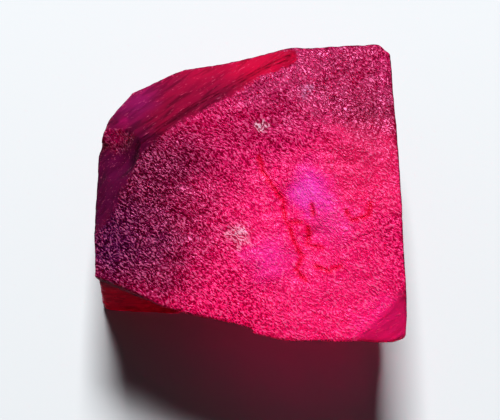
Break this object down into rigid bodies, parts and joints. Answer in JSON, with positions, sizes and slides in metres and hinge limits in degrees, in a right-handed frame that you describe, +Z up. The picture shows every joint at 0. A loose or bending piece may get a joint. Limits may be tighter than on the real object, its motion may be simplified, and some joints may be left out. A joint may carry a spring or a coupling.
{
  "type": "rough red beryl",
  "caption": "Rough, broken piece of translucent crimson gem crystal with a wrinkled upper face, smooth bevels, a notched edge, a low toe and a flat face to rest on.",
  "frame": {"origin": "under the middle of the stone's box, on the flat face that it rests on", "axes": "+Z up from the resting face, +X towards the bright straight side, +Y towards the long bevel"},
  "size_m": [0.03, 0.0298, 0.0182],
  "materials": {
    "beryl": "waxy, finely wrinkled break, translucent crimson that darkens to purple at one end"
  },
  "bodies": {
    "root": {"red_beryl": "beryl"}
  },
  "joints": []
}
